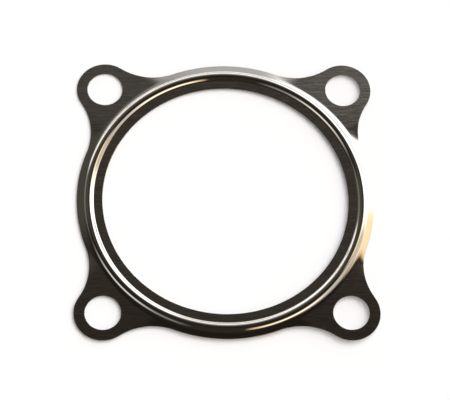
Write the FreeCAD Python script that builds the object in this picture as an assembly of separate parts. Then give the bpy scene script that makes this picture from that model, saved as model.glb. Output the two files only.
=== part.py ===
import FreeCAD, Part
import math
import os

# Turbo downpipe gasket: one sheet of stainless steel, blanked and pressed.
# A round opening, a flat lip, a raised sealing bead, a narrow flange, and four
# bolt ears on the corners of a square. Millimetres, Z up. The origin is the
# centre of the opening, on the flat underside.

# Driving dimensions of the blank.
sheet_thickness = 0.4
opening_diameter = 83.4
hole_spacing = 82.5
hole_diameter = 12.0
ear_wall = 3.75
blend_radius = 20.0

# Driving dimensions of the pressed section, from the opening outwards.
lip_width = 2.9
bead_width = 3.85
flange_width = 2.05

# Driving dimensions of the bead: rise, flat on its crest, bends at mid-thickness.
bead_height = 0.9
crest_flat = 0.25
foot_bend_radius = 0.95
crest_bend_radius = 1.2

# Radii measured from the centre of the opening.
opening_radius = opening_diameter / 2
inner_foot_radius = opening_radius + lip_width
crest_radius = inner_foot_radius + bead_width / 2
outer_foot_radius = inner_foot_radius + bead_width
ring_radius = outer_foot_radius + flange_width
ear_radius = hole_diameter / 2 + ear_wall
ear_distance = hole_spacing / math.sqrt(2)
bead_top = sheet_thickness + bead_height

# The disc that is pressed reaches past the ears, and the outline then trims it.
disc_radius = ear_distance + 1.1 * ear_radius

# The most that the two bends may take of a flank, which keeps a short straight slope.
tightest_bend_share = 0.95


def polar(radius, angle, centre=(0.0, 0.0)):
    """A point in the plan, at an angle in radians from +X round a centre."""
    return (centre[0] + radius * math.cos(angle), centre[1] + radius * math.sin(angle))


def in_plan(point, height):
    """A plan point lifted to a height."""
    return FreeCAD.Vector(point[0], point[1], height)


def in_section(point):
    """A point of the section, radius then height, in the XZ plane."""
    return FreeCAD.Vector(point[0], 0.0, point[1])


def bead_bends():
    """Bend radii at the foot and at the crest that fit the bead, and its slope."""
    run = (bead_width - crest_flat) / 2
    largest_sum = tightest_bend_share * (run ** 2 + bead_height ** 2) / (2 * bead_height)
    share = min(1.0, largest_sum / (foot_bend_radius + crest_bend_radius))
    foot_bend = share * foot_bend_radius
    crest_bend = share * crest_bend_radius
    both = foot_bend + crest_bend
    drop = both - bead_height
    slope = math.asin(both / math.hypot(run, drop)) - math.atan2(drop, run)
    return foot_bend, crest_bend, slope


def half_skin(side, outward):
    """Foot bend, flank and crest bend of one side of the bead, in one skin.

    side is +1 for the upper skin and -1 for the lower one. outward is -1 for
    the flank that faces the opening and +1 for the one that faces the ears.
    The result runs from the foot up to the crest.
    """
    foot_bend, crest_bend, slope = bead_bends()
    half = sheet_thickness / 2
    foot_x = crest_radius + outward * bead_width / 2
    crest_x = crest_radius + outward * crest_flat / 2
    foot_centre = (foot_x, half + foot_bend)
    crest_centre = (crest_x, half + bead_height - crest_bend)
    foot_skin = foot_bend - side * half
    crest_skin = crest_bend + side * half

    def on_foot(turn):
        x = foot_centre[0] - outward * foot_skin * math.sin(turn)
        return in_section((x, foot_centre[1] - foot_skin * math.cos(turn)))

    def on_crest(turn):
        x = crest_centre[0] + outward * crest_skin * math.sin(turn)
        return in_section((x, crest_centre[1] + crest_skin * math.cos(turn)))

    foot = Part.Arc(on_foot(0.0), on_foot(slope / 2), on_foot(slope)).toShape()
    flank = Part.makeLine(on_foot(slope), on_crest(slope))
    crest = Part.Arc(on_crest(slope), on_crest(slope / 2), on_crest(0.0)).toShape()
    return [foot, flank, crest]


def skin(side):
    """One skin of the section, from the opening to the edge of the disc."""
    level = sheet_thickness * (1 + side) / 2
    inner = half_skin(side, -1)
    outer = half_skin(side, +1)
    lip = Part.makeLine(in_section((opening_radius, level)), in_section((inner_foot_radius, level)))
    top = level + bead_height
    crest_start = in_section((crest_radius - crest_flat / 2, top))
    crest_end = in_section((crest_radius + crest_flat / 2, top))
    crest = Part.makeLine(crest_start, crest_end)
    plate = Part.makeLine(in_section((outer_foot_radius, level)), in_section((disc_radius, level)))
    return [lip] + inner + [crest] + outer + [plate]


def pressed_disc():
    """The sheet with its bead pressed in, as a turned section."""
    inner_wall = Part.makeLine(
        in_section((opening_radius, 0.0)), in_section((opening_radius, sheet_thickness))
    )
    outer_wall = Part.makeLine(
        in_section((disc_radius, 0.0)), in_section((disc_radius, sheet_thickness))
    )
    edges = skin(+1) + skin(-1) + [inner_wall, outer_wall]
    outline = Part.Wire(Part.__sortEdges__(edges))
    section = Part.Face(outline)
    return section.revolve(FreeCAD.Vector(0, 0, 0), FreeCAD.Vector(0, 0, 1), 360)


def arc_in_plan(centre, radius, start, middle, end):
    """An arc of the outline through three angles round a centre."""
    points = [in_plan(polar(radius, angle, centre), 0.0) for angle in (start, middle, end)]
    return Part.Arc(*points).toShape()


def ear_outline(corner, blend_turn):
    """Blend, ear and blend of one corner, which stands at an angle."""
    ear_centre = polar(ear_distance, corner)
    edges = []
    ear_ends = []
    for hand in (-1, +1):
        heading = corner + hand * blend_turn
        blend_centre = polar(ring_radius + blend_radius, heading)
        to_ear = math.atan2(ear_centre[1] - blend_centre[1], ear_centre[0] - blend_centre[0])
        to_ring = heading + math.pi
        sweep = math.remainder(to_ear - to_ring, 2 * math.pi)
        middle = to_ring + sweep / 2
        edges.append(arc_in_plan(blend_centre, blend_radius, to_ring, middle, to_ear))
        ear_ends.append(to_ear + math.pi)
    edges.append(arc_in_plan(ear_centre, ear_radius, ear_ends[0], corner, ear_ends[1]))
    return edges


def outline_face():
    """The stamped outline: a round ring, four ears and the blends between."""
    reach = ring_radius + blend_radius
    span = ear_radius + blend_radius
    cosine = (reach ** 2 + ear_distance ** 2 - span ** 2) / (2 * reach * ear_distance)
    blend_turn = math.acos(cosine)
    quarter = math.pi / 2
    edges = []
    for index in range(4):
        corner = (index + 0.5) * quarter
        edges += ear_outline(corner, blend_turn)
        start = corner + blend_turn
        end = corner + quarter - blend_turn
        edges.append(arc_in_plan((0.0, 0.0), ring_radius, start, (start + end) / 2, end))
    return Part.Face(Part.Wire(Part.__sortEdges__(edges)))


def trimmed_outline(disc):
    """The disc cut down to the stamped outline."""
    cutter = outline_face()
    cutter.translate(FreeCAD.Vector(0, 0, -bead_top))
    return disc.common(cutter.extrude(FreeCAD.Vector(0, 0, 3 * bead_top)))


def bolt_punches():
    """Four round punches on the corners of a square."""
    punches = []
    for index in range(4):
        centre = polar(ear_distance, (index + 0.5) * math.pi / 2)
        base = in_plan(centre, -bead_top)
        punches.append(Part.makeCylinder(hole_diameter / 2, 3 * bead_top, base))
    return punches


gasket = trimmed_outline(pressed_disc()).cut(bolt_punches()).Solids[0]

os.makedirs("parts", exist_ok=True)
gasket.exportStep("parts/gasket.step")
box = gasket.optimalBoundingBox(True, False)
print("valid", gasket.isValid(), "volume", round(gasket.Volume, 2), "mm3")
print("size", round(box.XLength, 3), round(box.YLength, 3), round(box.ZLength, 3), "mm")
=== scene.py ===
import math

import bmesh
import bpy
from mathutils import Matrix, Quaternion, Vector


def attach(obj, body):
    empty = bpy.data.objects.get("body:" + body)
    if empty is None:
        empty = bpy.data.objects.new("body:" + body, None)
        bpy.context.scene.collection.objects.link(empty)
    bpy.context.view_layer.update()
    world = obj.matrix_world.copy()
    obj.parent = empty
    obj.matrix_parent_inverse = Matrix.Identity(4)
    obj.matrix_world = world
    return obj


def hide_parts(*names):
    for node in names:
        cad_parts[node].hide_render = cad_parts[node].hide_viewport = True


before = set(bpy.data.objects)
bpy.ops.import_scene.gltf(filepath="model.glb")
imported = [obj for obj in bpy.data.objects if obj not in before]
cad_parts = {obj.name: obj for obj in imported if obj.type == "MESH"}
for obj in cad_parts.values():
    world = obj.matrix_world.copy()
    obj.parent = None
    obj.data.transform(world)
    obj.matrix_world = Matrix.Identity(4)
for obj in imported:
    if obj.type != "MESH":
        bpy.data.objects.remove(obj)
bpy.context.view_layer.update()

# Pressed sheet. The real piece is one layer of thin stainless strip, blanked with a
# round opening and four bolt ears, then pressed between dies that raise the bead.
# Nothing is joined to it, and its sheared edges have a very small rollover.
MM = 0.001
sheet_thickness = 0.4 * MM
opening_radius = 41.7 * MM
lip_width = 2.9 * MM
bead_width = 3.85 * MM
bead_height = 0.9 * MM
crest_flat = 0.25 * MM
foot_bend = 0.95 * MM
crest_bend = 1.2 * MM
flange_width = 2.05 * MM
hole_radius = 6.0 * MM
hole_spacing = 82.5 * MM
ear_wall = 3.75 * MM
blend_radius = 20.0 * MM
edge_rollover = 0.10 * MM

inner_foot = opening_radius + lip_width
crest_middle = inner_foot + bead_width / 2
outer_foot = inner_foot + bead_width
ring_radius = outer_foot + flange_width
ear_radius = hole_radius + ear_wall
ear_distance = hole_spacing / math.sqrt(2)
quarter = math.pi / 2

# How finely the mesh is cut: round the ring, over a bend, across the plate, round a hole
# and over an edge. Then the flat strip kept beside the bead, the plate cut anew round a
# hole, the distance at which points join, and the angles of a sheared edge and a crease.
turns = 720
bend_steps = 8
plate_rows = 9
hole_segments = 120
rollover_steps = 2
flat_beside_bead = 0.15 * MM
plate_round_hole = 1.2 * MM
join_within = 0.0001 * MM
sheared_angle = math.radians(60)
crease_angle = math.radians(12)


def bead_slope():
    """Steepest slope of the bead's flank, where a straight run joins the two bends."""
    run = (bead_width - crest_flat) / 2
    both = foot_bend + crest_bend
    drop = both - bead_height
    return math.asin(both / math.hypot(run, drop)) - math.atan2(drop, run)


def bead_half(outward):
    """Upper skin from a foot of the bead up to its crest, as radius and height."""
    slope = bead_slope()
    foot_skin = foot_bend - sheet_thickness / 2
    crest_skin = crest_bend + sheet_thickness / 2
    foot = crest_middle + outward * bead_width / 2
    crest = crest_middle + outward * crest_flat / 2
    top = sheet_thickness + bead_height
    points = []
    for step in range(bend_steps + 1):
        turn = slope * step / bend_steps
        rise = foot_skin * (1 - math.cos(turn))
        points.append((foot - outward * foot_skin * math.sin(turn), sheet_thickness + rise))
    for step in range(bend_steps, -1, -1):
        turn = slope * step / bend_steps
        fall = crest_skin * (1 - math.cos(turn))
        points.append((crest + outward * crest_skin * math.sin(turn), top - fall))
    return points


def outline_reach(angle):
    """Distance from the centre to the stamped outline: ring, blend or ear."""
    reach = ring_radius + blend_radius
    span = ear_radius + blend_radius
    cosine = (reach ** 2 + ear_distance ** 2 - span ** 2) / (2 * reach * ear_distance)
    blend_turn = math.acos(cosine)
    across = reach * math.sin(blend_turn) * ear_radius / span
    along = ear_distance + (reach * cosine - ear_distance) * ear_radius / span
    turn = abs(angle % quarter - quarter / 2)
    if turn >= blend_turn:
        return ring_radius
    if turn <= math.atan2(across, along):
        off = ear_distance * math.sin(turn)
        return ear_distance * math.cos(turn) + math.sqrt(ear_radius ** 2 - off ** 2)
    off = reach * math.sin(blend_turn - turn)
    return reach * math.cos(blend_turn - turn) - math.sqrt(blend_radius ** 2 - off ** 2)


def press_ring(bm):
    """Turn the lip and the bead round the opening, and return the outer rim's edges."""
    lip = [(opening_radius, sheet_thickness), (opening_radius + lip_width / 2, sheet_thickness)]
    lip.append((inner_foot - flat_beside_bead, sheet_thickness))
    section = lip + bead_half(-1) + bead_half(+1)[::-1]
    section.append((outer_foot + flat_beside_bead, sheet_thickness))
    verts = [bm.verts.new((radius, 0, height)) for radius, height in section]
    edges = [bm.edges.new(pair) for pair in zip(verts, verts[1:])]
    bmesh.ops.spin(bm, geom=verts + edges, axis=(0, 0, 1), cent=(0, 0, 0),
                   angle=2 * math.pi, steps=turns, use_merge=True)
    limit = outer_foot + flat_beside_bead / 2
    return [e for e in bm.edges if e.is_boundary and e.verts[0].co.xy.length > limit]


def draw_plate(bm, rim):
    """Extend the flat plate from the bead's outer foot to the stamped outline."""
    start = rim[0].verts[0].co.xy.length
    for row in range(1, plate_rows + 1):
        grown = bmesh.ops.extrude_edge_only(bm, edges=rim)["geom"]
        for vert in (v for v in grown if isinstance(v, bmesh.types.BMVert)):
            angle = math.atan2(vert.co.y, vert.co.x)
            radius = start + (outline_reach(angle) - start) * row / plate_rows
            vert.co.xy = (radius * math.cos(angle), radius * math.sin(angle))
        rim = [e for e in grown if isinstance(e, bmesh.types.BMEdge) and e.is_boundary]


def punch_holes(bm):
    """Cut the four round bolt holes out of the flat ears."""
    slug_radius = hole_radius + plate_round_hole
    for index in range(4):
        corner = (index + 0.5) * quarter
        centre = Vector((math.cos(corner), math.sin(corner))) * ear_distance
        slug = [f for f in bm.faces if (f.calc_center_median().xy - centre).length < slug_radius]
        bmesh.ops.delete(bm, geom=slug, context="FACES")
        ragged = [e for e in bm.edges if e.is_boundary
                  and (e.verts[0].co.xy - centre).length < ear_radius - plate_round_hole / 2]
        place = Matrix.Translation((centre.x, centre.y, sheet_thickness))
        ring = bmesh.ops.create_circle(bm, segments=hole_segments, radius=hole_radius, matrix=place)["verts"]
        circle = list({e for v in ring for e in v.link_edges})
        bmesh.ops.triangle_fill(bm, edges=ragged + circle, use_beauty=True, normal=(0, 0, 1))


def give_thickness(bm):
    """Grow the sheet downwards and roll over its sheared edges."""
    bmesh.ops.remove_doubles(bm, verts=bm.verts, dist=join_within)
    bmesh.ops.recalc_face_normals(bm, faces=bm.faces)
    if sum(f.normal.z for f in bm.faces) < 0:
        bmesh.ops.reverse_faces(bm, faces=bm.faces)
    bmesh.ops.solidify(bm, geom=bm.faces[:], thickness=sheet_thickness)
    bmesh.ops.recalc_face_normals(bm, faces=bm.faces)
    bm.normal_update()
    sharp = [e for e in bm.edges if len(e.link_faces) == 2 and e.calc_face_angle(0) > sheared_angle]
    bmesh.ops.bevel(bm, geom=sharp, offset=edge_rollover, offset_type="OFFSET", segments=rollover_steps,
                    profile=0.5, affect="EDGES", clamp_overlap=True, material=-1)


bm = bmesh.new()
draw_plate(bm, press_ring(bm))
punch_holes(bm)
give_thickness(bm)
mesh = bpy.data.meshes.new("pressed_sheet")
bm.to_mesh(mesh)
bm.free()
mesh.polygons.foreach_set("use_smooth", [True] * len(mesh.polygons))
mesh.set_sharp_from_angle(angle=crease_angle)
sheet = bpy.data.objects.new("pressed_sheet", mesh)
bpy.context.scene.collection.objects.link(sheet)


def linear(code):
    """sRGB hex to the linear colour that a shader takes."""
    parts = [int(code[i:i + 2], 16) / 255 for i in (1, 3, 5)]
    return tuple(p / 12.92 if p <= 0.04045 else ((p + 0.055) / 1.055) ** 2.4 for p in parts) + (1,)


def add(tree, kind, settings=None, links=None):
    """Add a node, set its properties and sockets, and link its inputs.

    A key is a property's name, or a socket's name or number. A colour Mix has
    its two colours on sockets 6 and 7, and gives its result on output 2.
    """
    node = tree.nodes.new(kind)
    for key, value in (settings or {}).items():
        if isinstance(key, str) and hasattr(node, key):
            setattr(node, key, value)
        else:
            node.inputs[key].default_value = value
    for key, socket in (links or {}).items():
        tree.links.new(socket, node.inputs[key])
    return node


# The steel is cold-rolled stainless strip with a mill finish. To the eye it is a soft
# mirror with faint straight rolling lines, which the dies have burnished away on the bead
# and the narrow flange. The sheared edges are duller and darker.
steel = bpy.data.materials.new("cold_rolled_stainless")
steel.use_nodes = True
tree = steel.node_tree
shader = tree.nodes["Principled BSDF"]
shader.inputs["Metallic"].default_value = 1.0
place = add(tree, "ShaderNodeTexCoord")
in_mm = add(tree, "ShaderNodeVectorMath", {"operation": "SCALE", "Scale": 1 / MM},
            {0: place.outputs["Object"]})
spot = in_mm.outputs[0]

# Where the sheet is narrow, as an angle from the middle of a side of the bolt square, and
# the radii in millimetres between which the dies have burnished it. The outer two count on
# the ears only, because the narrow flange is burnished out to its edge.
narrow_within = math.radians(21)
narrow_until = math.radians(32)
burnish_from = inner_foot / MM - 0.4
burnish_full = inner_foot / MM + 0.2
burnish_fades = outer_foot / MM + 0.1
burnish_ends = outer_foot / MM + 1.3
plan = add(tree, "ShaderNodeSeparateXYZ", None, {0: spot})
flat = add(tree, "ShaderNodeCombineXYZ", None, {"X": plan.outputs["X"], "Y": plan.outputs["Y"]})
radius = add(tree, "ShaderNodeVectorMath", {"operation": "LENGTH"}, {0: flat.outputs[0]})
bearing = add(tree, "ShaderNodeMath", {"operation": "ARCTAN2"}, {0: plan.outputs["Y"], 1: plan.outputs["X"]})
side_turn = add(tree, "ShaderNodeMath", {"operation": "PINGPONG", 1: quarter / 2}, {0: bearing.outputs[0]})
narrow = add(tree, "ShaderNodeMapRange",
             {"interpolation_type": "SMOOTHSTEP", "From Min": narrow_until, "From Max": narrow_within},
             {"Value": side_turn.outputs[0]})
bead_side = add(tree, "ShaderNodeMapRange",
                {"interpolation_type": "SMOOTHSTEP", "From Min": burnish_from, "From Max": burnish_full},
                {"Value": radius.outputs["Value"]})
ear_side = add(tree, "ShaderNodeMapRange",
               {"interpolation_type": "SMOOTHSTEP", "From Min": burnish_ends, "From Max": burnish_fades},
               {"Value": radius.outputs["Value"]})
pressed = add(tree, "ShaderNodeMath", {"operation": "MAXIMUM"},
              {0: ear_side.outputs[0], 1: narrow.outputs[0]})
burnish = add(tree, "ShaderNodeMath", {"operation": "MULTIPLY"},
              {0: bead_side.outputs[0], 1: pressed.outputs[0]})

# Rolling lines along X. The real ones are a few hundredths of a millimetre apart, too
# fine for the picture, so they are drawn about ten times as coarse.
grain_length = 5.0
grain_width = 0.33
grain_dark = 0.32
grain_bright = 0.68
along = add(tree, "ShaderNodeMapping", {"Scale": (1 / grain_length, 1 / grain_width, 1.0)}, {"Vector": spot})
grain = add(tree, "ShaderNodeTexNoise", {"Scale": 1.0, "Detail": 2.0, "Roughness": 0.6},
            {"Vector": along.outputs[0]})
streak = add(tree, "ShaderNodeMapRange", {"From Min": grain_dark, "From Max": grain_bright},
             {"Value": grain.outputs["Fac"]})

# A face that stands steeper than the bead's flank is a sheared edge.
face_upright = 0.62
edge_upright = 0.40
leaning = add(tree, "ShaderNodeSeparateXYZ", None, {0: place.outputs["Normal"]})
upright = add(tree, "ShaderNodeMath", {"operation": "ABSOLUTE"}, {0: leaning.outputs["Z"]})
sheared = add(tree, "ShaderNodeMapRange", {"From Min": face_upright, "From Max": edge_upright},
              {"Value": upright.outputs[0]})

rolled_tone = add(tree, "ShaderNodeMix", {"data_type": "RGBA", 6: linear("#B9B4AE"), 7: linear("#DCD8D2")},
                  {"Factor": streak.outputs[0]})
sheet_tone = add(tree, "ShaderNodeMix", {"data_type": "RGBA", 7: linear("#D8D4CE")},
                 {"Factor": burnish.outputs[0], 6: rolled_tone.outputs[2]})
steel_tone = add(tree, "ShaderNodeMix", {"data_type": "RGBA", 7: linear("#8C8680")},
                 {"Factor": sheared.outputs[0], 6: sheet_tone.outputs[2]})
tree.links.new(steel_tone.outputs[2], shader.inputs["Base Color"])

smooth_line = 0.06
rough_line = 0.13
burnished = 0.07
torn_edge = 0.42
haze = add(tree, "ShaderNodeMapRange", {"To Min": smooth_line, "To Max": rough_line},
           {"Value": streak.outputs[0]})
polish = add(tree, "ShaderNodeMix", {"B": burnished}, {"Factor": burnish.outputs[0], "A": haze.outputs[0]})
rough = add(tree, "ShaderNodeMix", {"B": torn_edge}, {"Factor": sheared.outputs[0], "A": polish.outputs[0]})
tree.links.new(rough.outputs[0], shader.inputs["Roughness"])

# Springback, as relief in millimetres. Past the bead the plate falls away in a soft foot
# and then leans outwards, more on the narrow flange than on the ears. That lean is what
# catches the light along the rim.
flange_lean = math.tan(math.radians(14.0))
ear_lean = math.tan(math.radians(2.9))
foot_lean = math.tan(math.radians(16.0))
foot_start = outer_foot / MM - 0.25
foot_reach = 1.5
beyond = add(tree, "ShaderNodeMath", {"operation": "SUBTRACT", 1: foot_start}, {0: radius.outputs["Value"]})
past = add(tree, "ShaderNodeMath", {"operation": "MAXIMUM", 1: 0.0}, {0: beyond.outputs[0]})
near = add(tree, "ShaderNodeMath", {"operation": "MINIMUM", 1: foot_reach}, {0: past.outputs[0]})
share = add(tree, "ShaderNodeMath",
            {"operation": "MULTIPLY_ADD", 1: foot_lean / (2 * foot_reach), 2: -foot_lean},
            {0: near.outputs[0]})
foot = add(tree, "ShaderNodeMath", {"operation": "MULTIPLY"}, {0: near.outputs[0], 1: share.outputs[0]})
ear_fall = add(tree, "ShaderNodeMath", {"operation": "MULTIPLY_ADD", 1: -ear_lean},
               {0: past.outputs[0], 2: foot.outputs[0]})
rim_fall = add(tree, "ShaderNodeMath", {"operation": "MULTIPLY", 1: -flange_lean}, {0: past.outputs[0]})
spring = add(tree, "ShaderNodeMix", None,
             {"Factor": narrow.outputs[0], "A": ear_fall.outputs[0], "B": rim_fall.outputs[0]})

# The bead's outer flank springs back too, so it is a few degrees flatter than the dies.
flank_from = 0.68
flank_to = 1.83
flank_easing = 0.08
from_crest = add(tree, "ShaderNodeMath", {"operation": "SUBTRACT", 1: crest_middle / MM},
                 {0: radius.outputs["Value"]})
easing = add(tree, "ShaderNodeMapRange",
             {"interpolation_type": "SMOOTHSTEP", "From Min": flank_from, "From Max": flank_to,
              "To Max": flank_easing}, {"Value": from_crest.outputs[0]})

# Long shallow waves, as in any thin strip, and the rolling lines where they aren't burnished.
wave_length = 14.0
wave_height = 0.02
grain_height = 0.0015
waves = add(tree, "ShaderNodeTexNoise", {"Scale": 1 / wave_length, "Detail": 2.0}, {"Vector": spot})
swell = add(tree, "ShaderNodeMath", {"operation": "MULTIPLY_ADD", 1: wave_height},
            {0: waves.outputs["Fac"], 2: spring.outputs[0]})
eased = add(tree, "ShaderNodeMath", {"operation": "ADD"}, {0: swell.outputs[0], 1: easing.outputs[0]})
depth = add(tree, "ShaderNodeMapRange", {"To Min": grain_height, "To Max": 0.0},
            {"Value": burnish.outputs[0]})
relief = add(tree, "ShaderNodeMath", {"operation": "MULTIPLY_ADD"},
             {0: grain.outputs["Fac"], 1: depth.outputs[0], 2: eased.outputs[0]})
bump = add(tree, "ShaderNodeBump", {"Distance": MM, "Strength": 1.0}, {"Height": relief.outputs[0]})
tree.links.new(bump.outputs[0], shader.inputs["Normal"])
sheet.data.materials.append(steel)

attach(sheet, "root")
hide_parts("gasket")

# Floor: a plain matt white table, which isn't part of the object. The sheet doesn't touch
# it here: it lies about 0.1 mm under the back left ear and 1.2 mm under the front right
# one, which widens the shadow as in the photograph, where the real sheet seems sprung.
table_size = 6.0
table_drop = 0.65 * MM
table_lean = math.radians(0.45)
bpy.ops.mesh.primitive_plane_add(size=table_size, location=(0, 0, -table_drop),
                                 rotation=(table_lean / 2, table_lean, 0))
floor = bpy.context.object
floor.name = "floor"
paint = bpy.data.materials.new("matt_white_floor")
paint.use_nodes = True
tree = paint.node_tree
shader = tree.nodes["Principled BSDF"]
shader.inputs["Base Color"].default_value = linear("#F4F4F6")
shader.inputs["Roughness"].default_value = 0.9
shader.inputs["Specular IOR Level"].default_value = 0.0

# What the table lacks to pure white is added for the camera, for mirrors and for glass.
whitening = 0.08
path = add(tree, "ShaderNodeLightPath")
seen = add(tree, "ShaderNodeMath", {"operation": "MAXIMUM"},
           {0: path.outputs["Is Camera Ray"], 1: path.outputs["Is Glossy Ray"]})
shown = add(tree, "ShaderNodeMath", {"operation": "MAXIMUM"},
            {0: seen.outputs[0], 1: path.outputs["Is Transmission Ray"]})
lift = add(tree, "ShaderNodeMath", {"operation": "MULTIPLY", 1: whitening}, {0: shown.outputs[0]})
shader.inputs["Emission Color"].default_value = (1, 1, 1, 1)
tree.links.new(lift.outputs[0], shader.inputs["Emission Strength"])
floor.data.materials.append(paint)

# Studio: a white window at the back right, a warm wall at the front right, a pale wall
# behind and a white screen at the front left, under a dark ceiling. Each patch has a
# colour, a level, and a box in the direction's own X, Y and Z. A side of the box is the
# value at which the patch starts and the value at which it is full. A later patch lies
# over those before it.
patches = [
    ("dark ceiling overhead", "#FFE8D5", 0.019, [("Y", -0.34, -0.20), ("Y", 0.26, 0.14)]),
    ("ceiling towards the wall", "#FFEEDE", 0.060, [("Y", 0.24, 0.40)]),
    ("ceiling over the wall", "#FFF6EC", 0.092, [("Y", 0.45, 0.51)]),
    ("ceiling on the left", "#FFFCEA", 0.080, [("X", -0.10, -0.32), ("Y", 0.20, 0.34)]),
    ("ceiling by the window", "#FFF8F0", 0.155, [("Y", 0.46, 0.51), ("X", -0.02, 0.16)]),
    ("left side", "#FFF8F2", 0.22, [("X", -0.30, -0.60), ("Z", 0.34, 0.24)]),
    ("foot of the left side", "#FFFAF6", 0.30, [("X", -0.30, -0.60), ("Z", 0.16, 0.09)]),
    ("wall behind", "#FFFAF6", 0.30, [("Y", 0.56, 0.80), ("Z", 0.86, 0.60)]),
    ("its bright middle", "#FBFDFF", 0.62, [("Y", 0.56, 0.80), ("X", -0.24, -0.02)]),
    ("foot of the wall", "#FFFDFA", 1.00, [("Y", 0.50, 0.72), ("Z", 0.36, 0.14), ("X", -0.45, -0.20)]),
    ("horizon behind", "#FFFDFA", 2.60, [("Y", 0.54, 0.74), ("Z", 0.28, 0.16)]),
    ("top of the screen", "#FFFCF8", 0.26, [("X", -0.25, -0.45), ("Y", -0.30, -0.50), ("Z", 0.70, 0.54)]),
    ("screen at the front left", "#FFFCF8", 1.75,
     [("X", -0.25, -0.45), ("Y", 0.10, -0.50), ("Y", -0.72, -0.52), ("Z", 0.60, 0.32)]),
    ("amber edge of the warm wall", "#FFD9A0", 0.90, [("X", 0.18, 0.26), ("Z", 0.70, 0.56)]),
    ("warm wall", "#FFF6E4", 1.70, [("X", 0.24, 0.36), ("Z", 0.62, 0.46)]),
    ("amber strip over the window", "#FFE3B6", 1.60,
     [("X", 0.36, 0.44), ("Y", 0.04, 0.12), ("Z", 0.90, 0.82)]),
    ("pale part of the warm wall", "#FFF6E8", 0.80,
     [("X", 0.50, 0.66), ("Y", -0.56, -0.34), ("Z", 0.74, 0.62)]),
    ("low part of the window", "#FFFBF4", 2.00, [("X", 0.42, 0.54), ("Y", 0.12, 0.30), ("Z", 0.76, 0.66)]),
    ("window", "#F9FBFF", 2.60, [("X", 0.32, 0.46), ("Y", 0.31, 0.41), ("Z", 0.86, 0.70)]),
    ("near corner of the window", "#F9FBFF", 2.20, [("X", 0.18, 0.30), ("Y", 0.46, 0.52)]),
    ("tall part of the window", "#F9FBFF", 2.00, [("X", 0.14, 0.30), ("Y", 0.58, 0.68)]),
    ("backdrop at the horizon", "#FFFFFF", 1.00, [("Z", 0.07, 0.045)]),
]
ceiling = (0.036, 0.029, 0.024, 1)
world = bpy.data.worlds.new("studio")
world.use_nodes = True
tree = world.node_tree
where = add(tree, "ShaderNodeTexCoord")
heading = add(tree, "ShaderNodeSeparateXYZ", None, {0: where.outputs["Generated"]})
light = add(tree, "ShaderNodeRGB").outputs[0]
light.default_value = ceiling
for name, code, level, sides in patches:
    inside = None
    for axis, start, full in sides:
        side = add(tree, "ShaderNodeMapRange",
                   {"interpolation_type": "SMOOTHSTEP", "From Min": start, "From Max": full},
                   {"Value": heading.outputs[axis]})
        if inside:
            side = add(tree, "ShaderNodeMath", {"operation": "MULTIPLY"}, {0: inside, 1: side.outputs[0]})
        inside = side.outputs[0]
    glow = tuple(level * part for part in linear(code)[:3]) + (1,)
    light = add(tree, "ShaderNodeMix", {"data_type": "RGBA", "label": name, 7: glow},
                {"Factor": inside, 6: light}).outputs[2]
tree.links.new(light, tree.nodes["Background"].inputs["Color"])
bpy.context.scene.world = world

# Soft box: a broad lamp far off at the back right, which gives the soft shadows. Its
# mirror image is the window above, so reflections leave the lamp itself out.
lamp_strength = 2.16
lamp_breadth = math.radians(75)
lamp_from = Vector((0.62, 0.34, 1.1))
lamp_data = bpy.data.lights.new("soft_box", "SUN")
lamp_data.angle = lamp_breadth
lamp_data.energy = lamp_strength
lamp = bpy.data.objects.new("soft_box", lamp_data)
bpy.context.scene.collection.objects.link(lamp)
lamp.rotation_mode = "QUATERNION"
lamp.rotation_quaternion = lamp_from.to_track_quat("Z", "Y")
lamp.visible_glossy = False
lamp.visible_camera = False

# Camera: a long lens that looks down at the angle of the photograph.
lens = 169.8
sensor_width = 36.0
elevation = math.radians(66.26)
azimuth = math.radians(-5.52)
roll = math.radians(5.18)
distance = 719.7 * MM
nearest = 10 * MM
target = Vector((-0.29 * MM, -0.50 * MM, sheet_thickness))
back = Vector((math.sin(azimuth) * math.cos(elevation),
               -math.cos(azimuth) * math.cos(elevation), math.sin(elevation)))
camera_data = bpy.data.cameras.new("camera")
camera_data.lens = lens
camera_data.sensor_width = sensor_width
camera_data.clip_start = nearest
camera = bpy.data.objects.new("camera", camera_data)
bpy.context.scene.collection.objects.link(camera)
camera.location = target + back * distance
camera.rotation_mode = "QUATERNION"
camera.rotation_quaternion = (-back).to_track_quat("-Z", "Y") @ Quaternion((0, 0, 1), roll)
bpy.context.scene.camera = camera
bpy.context.scene.view_settings.view_transform = "Standard"
